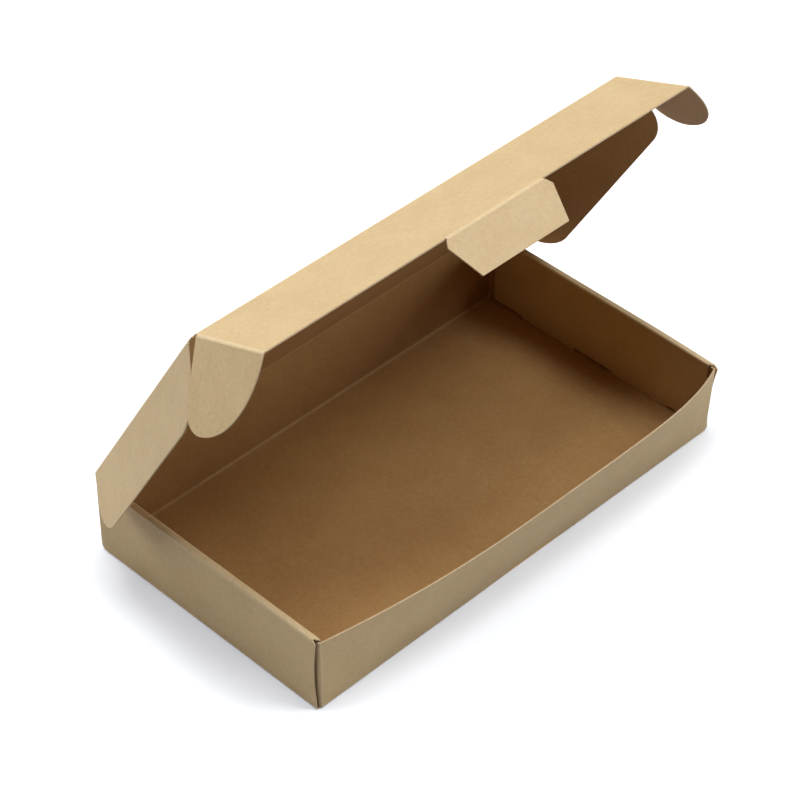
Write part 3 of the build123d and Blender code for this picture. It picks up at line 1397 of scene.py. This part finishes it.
@dataclass
class Lid:
    """Lid panel, side flaps, tuck flap, ears and lock tab, each folded as far as the box shows."""

    stock: CardStock
    creases: CreaseMaker
    pitch: float = 3.5
    edge_pitch: float = 3.0
    fine_pitch: float = 2.0
    calm_run: float = 10.0
    panel_wave_seed: float = 77.0
    flap_wave_seed: float = 31.0
    wall_middle: float = 49.75
    back_height: float = 31.6
    wall_end: float = 88.05
    length: float = 101.5
    hinge_step: float = 3.0
    side_crease: float = 90.6
    ear_crease: float = 89.25
    fold_reach: float = 0.5
    lean: float = 30.7
    lid_wave: float = 2.2
    flap_folds: dict[Side, float] = field(default_factory=lambda: {Side.LEFT: 58.5, Side.RIGHT: 64.0})
    flap_depth: float = 22.3
    flap_rounds: tuple[float, float] = (11.5, 14.0)
    flap_front_set: float = 2.8
    flap_front_setback: float = 4.0
    flap_curl: dict[Side, float] = field(default_factory=lambda: {Side.LEFT: 0.25, Side.RIGHT: 0.5})
    tuck_fold: float = 39.0
    tuck_length: float = 31.1
    tuck_wave: float = 1.6
    tuck_inset: float = 0.3
    ear_folds: dict[Side, float] = field(default_factory=lambda: {Side.LEFT: 56.0, Side.RIGHT: 53.0})
    ear_length: float = 27.5
    ear_root_gap: float = 1.0
    ear_straight: float = 19.0
    ear_taper: float = 1.5
    ear_tip_place: float = 10.0
    ear_steps: tuple[int, int] = (12, 24)
    ear_curl: dict[Side, float] = field(default_factory=lambda: {Side.LEFT: 0.5, Side.RIGHT: 1.0})
    lock_offset: float = 3.0
    lock_fold: float = 51.0
    lock_root: float = 41.0
    lock_root_play: float = 0.25
    lock_hook: float = 1.7
    lock_hook_depth: float = 2.8
    lock_end: float = 36.5
    lock_depth: float = 15.0
    lock_corner_round: float = 0.4
    lock_curl: float = 0.15
    fan_steps: int = 12

    @property
    def hinge(self) -> Triple:
        """The middle of the lid's hinge."""
        return 0.0, self.wall_middle, self.back_height

    def panel_frame(self) -> Matrix:
        """The lid panel's frame: X along the hinge, Y away from it, Z to the inside."""
        return folded(Matrix(), self.hinge, 90 + self.lean)

    def tuck_frame(self) -> Matrix:
        """The tuck flap's frame."""
        return folded(self.panel_frame(), (0.0, self.length, 0.0), self.tuck_fold)

    def panel(
        self, name: str, place: Matrix, body: str, node: str, spots: Spots, keep: Keep | None = None
    ) -> bpy.types.Object:
        """Make a panel and put it in its place.

        Args:
            name: the piece's name.
            place: the panel's own frame.
            body: the body that it rides on.
            node: the CAD node that it stands for.
            spots: its card in that frame.
            keep: says which cells are card.

        Returns:
            The piece.
        """
        board = CardBoard(name, self.stock)
        board.patch(spots, keep)
        bmesh.ops.transform(board.surface, matrix=place, verts=board.surface.verts)
        piece = board.finish(-place.col[2].to_3d())
        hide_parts(node)
        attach(piece, body)
        return piece

    def flat_spots(self, xs: list[float], ys: list[float], length: float, wave: float) -> Spots:
        """Card of a flat panel, a little uneven away from its folds.

        Args:
            xs: places along its fold.
            ys: places away from its fold.
            length: the panel's length.
            wave: how strongly it waves.

        Returns:
            Rows of spots.
        """
        rows = []
        for y in ys:
            calm = [clamp(min(xs[-1] - abs(x), length - y, y) / self.calm_run) for x in xs]
            seed = self.panel_wave_seed * wave
            lifts = [self.stock.unevenness(x, y, seed) * c * wave for x, c in zip(xs, calm)]
            rows.append([Spot(Vector((x, y, lift))) for x, lift in zip(xs, lifts)])
        return rows

    def lid_panel(self) -> bpy.types.Object:
        """The lid panel, stepped in at its hinge.

        Returns:
            The piece.
        """
        edge = self.side_crease - self.fold_reach
        xs = spread([-edge, -self.wall_end, self.wall_end, edge], self.pitch)
        ys = spread([self.fold_reach, self.hinge_step, self.length - self.fold_reach], self.pitch)

        def keep(i: int, j: int) -> bool:
            """Whether the cell in row i and column j is card."""
            return ys[i + 1] > self.hinge_step + 0.01 or abs(xs[j] + xs[j + 1]) / 2 < self.wall_end

        spots = self.flat_spots(xs, ys, self.length, self.lid_wave)
        return self.panel("lid_panel_card", self.panel_frame(), "lid", "lid_panel", spots, keep)

    def tuck(self) -> bpy.types.Object:
        """The tuck flap, notched where the lock tab turns.

        Returns:
            The piece.
        """
        edge = self.ear_crease - self.fold_reach
        notch = self.lock_root / 2 + self.lock_root_play
        low, high = self.lock_offset - notch, self.lock_offset + notch
        xs = spread([-edge, low, high, edge], self.pitch)
        root, length = self.fold_reach, self.tuck_length
        ys = spread([root, length - root, length], self.edge_pitch)

        def keep(i: int, j: int) -> bool:
            """Whether the cell in row i and column j is card."""
            return i < len(ys) - 2 or not low < (xs[j] + xs[j + 1]) / 2 < high

        spots = self.flat_spots(xs, ys, self.tuck_length, self.tuck_wave)
        return self.panel("tuck_flap_card", self.tuck_frame(), "tuck", "tuck_flap", spots, keep)

    def fan(self, outline: list[Vector], reach: float, curl: float, side: Side) -> Spots:
        """Lines of card from a flap's fold out to its cut edge.

        Args:
            outline: the cut edge from one end of the fold to the other, drawn on the right-hand flap.
            reach: the flap's depth.
            curl: how far its edge bends inwards.
            side: the side that it is on.

        Returns:
            Rows of spots.
        """
        root, first, last = self.fold_reach, outline[0].y, outline[-1].y
        total = sum((b - a).length for a, b in zip(outline, outline[1:]))
        rows, run, seed = [], 0.0, self.flap_wave_seed * side.value
        for i, end in enumerate(outline):
            run += (end - outline[i - 1]).length if i else 0.0
            start = Vector((root, first + (last - first) * run / total))
            end = Vector((max(end.x, root), end.y))
            row = []
            for k in range(self.fan_steps + 1):
                place = start.lerp(end, k / self.fan_steps)
                share = max(0.0, (place.x - root) / reach)
                lift = curl * share * share
                lift += self.stock.unevenness(place.x, place.y, seed) * min(1.0, share * 3)
                row.append(Spot(Vector((side.value * place.x, place.y, lift))))
            rows.append(row)
        return rows

    def side_flap(self, side: Side) -> bpy.types.Object:
        """A side flap of the lid, round at its back corner and slanted at its front.

        Args:
            side: the side that it is on.

        Returns:
            The piece.
        """
        root, depth, back = self.fold_reach, self.flap_depth, self.hinge_step
        front, setback = self.length - self.flap_front_set, self.flap_front_setback
        slant = front - root * setback / depth
        corners = [(root, back), (depth, back), (depth, front - setback), (root, slant)]
        outline = RoundedLine(corners, list(self.flap_rounds)).points(self.edge_pitch)
        fold = -side.value * self.flap_folds[side]
        place = folded(self.panel_frame(), (side.value * self.side_crease, 0.0, 0.0), fold, "Y")
        spots = self.fan(outline, depth, self.flap_curl[side], side)
        body = f"side_flap_{side.word}"
        return self.panel(f"{body}_card", place, body, f"lid_{body}", spots)

    def ear(self, side: Side) -> bpy.types.Object:
        """An ear of the tuck flap: a tapered edge, a quick turn at its tip and a long curve back.

        Args:
            side: the side that it is on.

        Returns:
            The piece.
        """
        root, gap = self.fold_reach, self.ear_root_gap
        straight, tip = self.ear_straight, self.ear_tip_place
        straight_end = gap + self.ear_taper
        line = RoundedLine([(root, gap), (straight, straight_end)], []).points(self.fine_pitch)
        quick, slow = self.ear_steps
        for turn in (pi / 2 * i / quick for i in range(1, quick + 1)):
            x = straight + (self.ear_length - straight) * sin(turn)
            line.append(Vector((x, tip - (tip - straight_end) * cos(turn))))
        for turn in (pi / 2 * i / slow for i in range(1, slow + 1)):
            x = max(root, self.ear_length * cos(turn))
            line.append(Vector((x, tip + (self.tuck_length - tip) * sin(turn))))
        fold = -side.value * self.ear_folds[side]
        place = folded(self.tuck_frame(), (side.value * self.ear_crease, 0.0, 0.0), fold, "Y")
        spots = self.fan(line, self.ear_length, self.ear_curl[side], side)
        body = f"ear_{side.word}"
        return self.panel(f"{body}_card", place, body, f"tuck_{body}", spots)

    def lock_tab(self) -> bpy.types.Object:
        """The lock tab, hooked at its root to hold in the slot.

        Returns:
            The piece.
        """
        start, depth, hook_depth = self.fold_reach, self.lock_depth, self.lock_hook_depth
        root, end = self.lock_root / 2, self.lock_end / 2
        hook, reach = root + self.lock_hook, root + self.lock_hook * start / hook_depth
        half = [(start, reach), (hook_depth, hook), (depth, end)]
        corners = [(x, -y) for x, y in half] + half[::-1]
        line = RoundedLine(corners, [self.lock_corner_round] * 4).points(self.fine_pitch)
        rows = self.fan(line, depth, self.lock_curl, Side.RIGHT)
        turned = [[Spot(Vector((-s.place.y, s.place.x, s.place.z))) for s in row] for row in rows]
        place = folded(self.tuck_frame(), (self.lock_offset, self.tuck_length, 0.0), self.lock_fold)
        return self.panel("lock_tab_card", place, "lock_tab", "lock_tab", turned)

    def folds(self) -> list[Crease]:
        """Every fold of the lid.

        Returns:
            The folds, from the hinge to the lock tab.
        """
        panel, tuck = self.panel_frame(), self.tuck_frame()
        flap_span = (self.hinge_step, self.length - self.flap_front_set)
        ear_span = (self.ear_root_gap, self.tuck_length)
        sides = (
            ("side_flap", "lid", panel, self.side_crease, flap_span, self.flap_folds, 11),
            ("ear", "tuck", tuck, self.ear_crease, ear_span, self.ear_folds, 21),
        )
        hinge = folded(Matrix(), self.hinge, 90)
        found = [Crease("hinge_fold", hinge, 2 * self.wall_end, self.lean, "tray", "lid", 3)]
        for side in Side:
            for stem, parent, base, crease, (low, high), angles, seed in sides:
                name = f"{stem}_{side.word}"
                place = folded(base, (side.value * crease, (low + high) / 2, 0.0), -90 * side.value, "Z")
                seed += side.value
                found.append(Crease(f"{name}_fold", place, high - low, angles[side], parent, name, seed))
        place = panel @ Matrix.Translation((0.0, self.length, 0.0))
        width = 2 * (self.ear_crease - self.tuck_inset)
        found.append(Crease("tuck_fold", place, width, self.tuck_fold, "lid", "tuck", 5))
        place = tuck @ Matrix.Translation((self.lock_offset, self.tuck_length, 0.0))
        found.append(Crease("lock_tab_fold", place, self.lock_root, self.lock_fold, "tuck", "lock_tab", 6))
        return found

    def build(self) -> list[bpy.types.Object]:
        """Make the lid's pieces.

        Returns:
            The pieces.
        """
        made = [self.lid_panel(), self.tuck(), self.lock_tab()]
        for side in Side:
            made += [self.side_flap(side), self.ear(side)]
        made += [self.creases.make(crease) for crease in self.folds()]
        return made


@dataclass(frozen=True)
class SoftLamp:
    """A square soft lamp that points at the box."""

    name: str
    place: Triple
    size: float
    power: float
    aim: Triple = (0.0, 0.0, 0.04)

    def hang(self) -> None:
        """Put the lamp in its place."""
        data = bpy.data.lights.new(self.name, "AREA")
        data.shape = "SQUARE"
        data.size = self.size
        data.energy = self.power
        thing = placed(self.name, data)
        thing.location = self.place
        way = Vector(self.aim) - Vector(self.place)
        thing.rotation_euler = way.to_track_quat("-Z", "Y").to_euler()


@dataclass
class Studio:
    """Pale floor, white surroundings and large soft lamps, the strongest overhead."""

    floor_size: float = 0.7
    floor_tone: Triple = (0.55, 0.55, 0.55)
    white: Triple = (1.0, 1.0, 1.0)
    floor_glow: Triple = (0.165, 0.20, 0.255)
    lamps: tuple[SoftLamp, ...] = (
        SoftLamp("overhead", (0.10, 0.30, 2.70), 1.5, 42.6),
        SoftLamp("front_right_high", (1.20, -1.20, 2.30), 1.2, 32.6),
        SoftLamp("front_right_low", (1.50, -2.30, 0.35), 0.7, 12.6),
        SoftLamp("right", (2.70, 0.0, 1.50), 1.8, 9.4),
        SoftLamp("behind", (0.0, 2.60, 1.50), 1.8, 29.2),
        SoftLamp("behind_left", (-1.90, 1.90, 1.60), 1.8, 34.7),
    )
    sensor: float = 36.0
    focal_length: float = 132.86
    clip: tuple[float, float] = (0.05, 20.0)
    camera_place: tuple[tuple[float, ...], ...] = (
        (0.70716827, 0.46720076, -0.53069434, -0.49982414),
        (-0.70704416, 0.46594133, -0.53196544, -0.49580544),
        (-0.00126223, 0.75141342, 0.65983049, 0.65584963),
        (0.0, 0.0, 0.0, 1.0),
    )

    def floor(self) -> None:
        """Lay the floor, brighter to the camera than to the object, with the object's shadow on it."""
        half = self.floor_size / 2
        mesh = bpy.data.meshes.new("floor")
        corners = [(-half, -half, 0.0), (half, -half, 0.0), (half, half, 0.0), (-half, half, 0.0)]
        mesh.from_pydata(corners, [], [(0, 1, 2, 3)])
        thing = placed("floor", mesh)
        material = bpy.data.materials.new("pale_floor")
        tree = ShaderTree(material)
        seen = tree.node("ShaderNodeLightPath", output="Is Camera Ray")
        colour = tree.blend(seen, self.floor_tone, self.white)
        matt = tree.node("ShaderNodeBsdfDiffuse", None, {"Color": colour})
        glow = tree.node("ShaderNodeEmission", None, {"Color": (*self.floor_glow, 1.0), "Strength": seen})
        shader = tree.node("ShaderNodeAddShader", None, {0: matt, 1: glow})
        tree.node("ShaderNodeOutputMaterial", None, {"Surface": shader})
        mesh.materials.append(material)

    def world(self) -> None:
        """White to the camera, and dark to everything else, which the lamps light alone."""
        world = bpy.data.worlds.new("studio")
        bpy.context.scene.world = world
        tree = ShaderTree(world)
        seen = tree.node("ShaderNodeLightPath", output="Is Camera Ray")
        shader = tree.node("ShaderNodeBackground", None, {"Color": (*self.white, 1.0), "Strength": seen})
        tree.node("ShaderNodeOutputWorld", None, {"Surface": shader})

    def camera(self) -> None:
        """Stand the camera at the photograph's place."""
        data = bpy.data.cameras.new("camera")
        data.sensor_width = self.sensor
        data.lens = self.focal_length
        data.clip_start, data.clip_end = self.clip
        thing = placed("camera", data)
        thing.matrix_world = Matrix(self.camera_place)
        bpy.context.scene.camera = thing

    def build(self) -> None:
        """Set up the whole studio."""
        bpy.context.scene.view_settings.view_transform = "Standard"
        self.world()
        self.floor()
        for lamp in self.lamps:
            lamp.hang()
        self.camera()


def main() -> None:
    """Build the pieces in order and report them."""
    logging.basicConfig(level=logging.INFO, format="%(message)s")
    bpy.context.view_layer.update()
    Studio().build()
    stock = CardStock((KraftCard().build(), InnerLinerWithPaintedShade().build(), CutEdge().build()))
    pieces = [Tray(stock).build()]
    pieces += Lid(stock, CreaseMaker(stock, CreaseRule())).build()
    for piece in pieces:
        LOG.info("made %s with %d faces", piece.name, len(piece.data.polygons))


if __name__ == "__main__":
    main()
